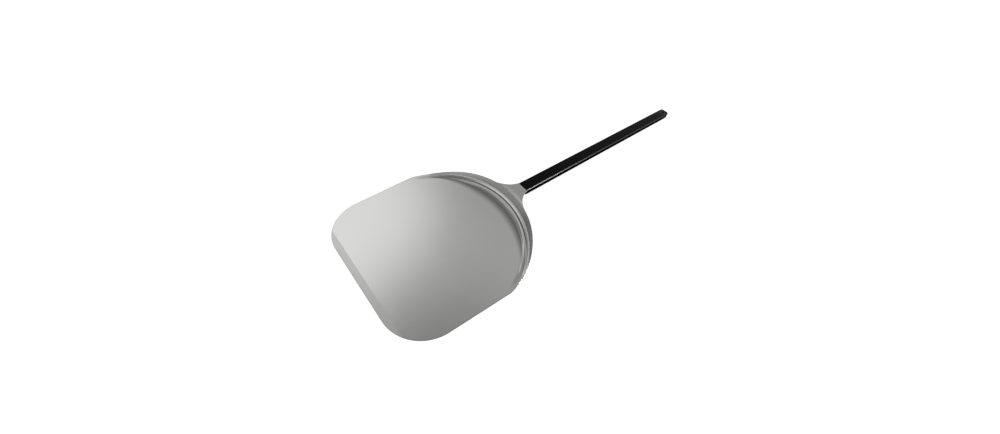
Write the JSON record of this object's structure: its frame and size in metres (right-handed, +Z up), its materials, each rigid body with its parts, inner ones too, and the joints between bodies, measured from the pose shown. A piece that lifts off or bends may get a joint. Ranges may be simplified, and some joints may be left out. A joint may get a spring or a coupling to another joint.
{
  "type": "pizza peel",
  "caption": "Wide flat metal blade with rounded front corners, an upswept ribbed round back rim and a long black rectangular tube handle with a hanging hole.",
  "frame": {"origin": "middle of the flat underside of the blade, 160 mm behind the front edge, on the plane of symmetry", "axes": "+Z up from the underside the peel rests on, +Y from the blade along the handle, +X to the right when looking from the blade to the handle"},
  "size_m": [0.352, 1, 0.0246],
  "materials": {
    "satin_aluminium": "satin sheet, ground bevel at the front edge",
    "black_anodised": "black anodised, smooth satin",
    "black_nylon": "moulded, matt",
    "zinc_steel": "zinc plated",
    "black_plastic": "moulded, fine grain",
    "rivet_aluminium": "plain"
  },
  "bodies": {
    "root": {"blade": "satin_aluminium", "handle_tube": "black_anodised", "tang_block": "black_nylon", "clinch_nuts": "zinc_steel", "tang_screws": "zinc_steel", "end_cap": "black_plastic", "cap_rivet": "rivet_aluminium"}
  },
  "joints": []
}
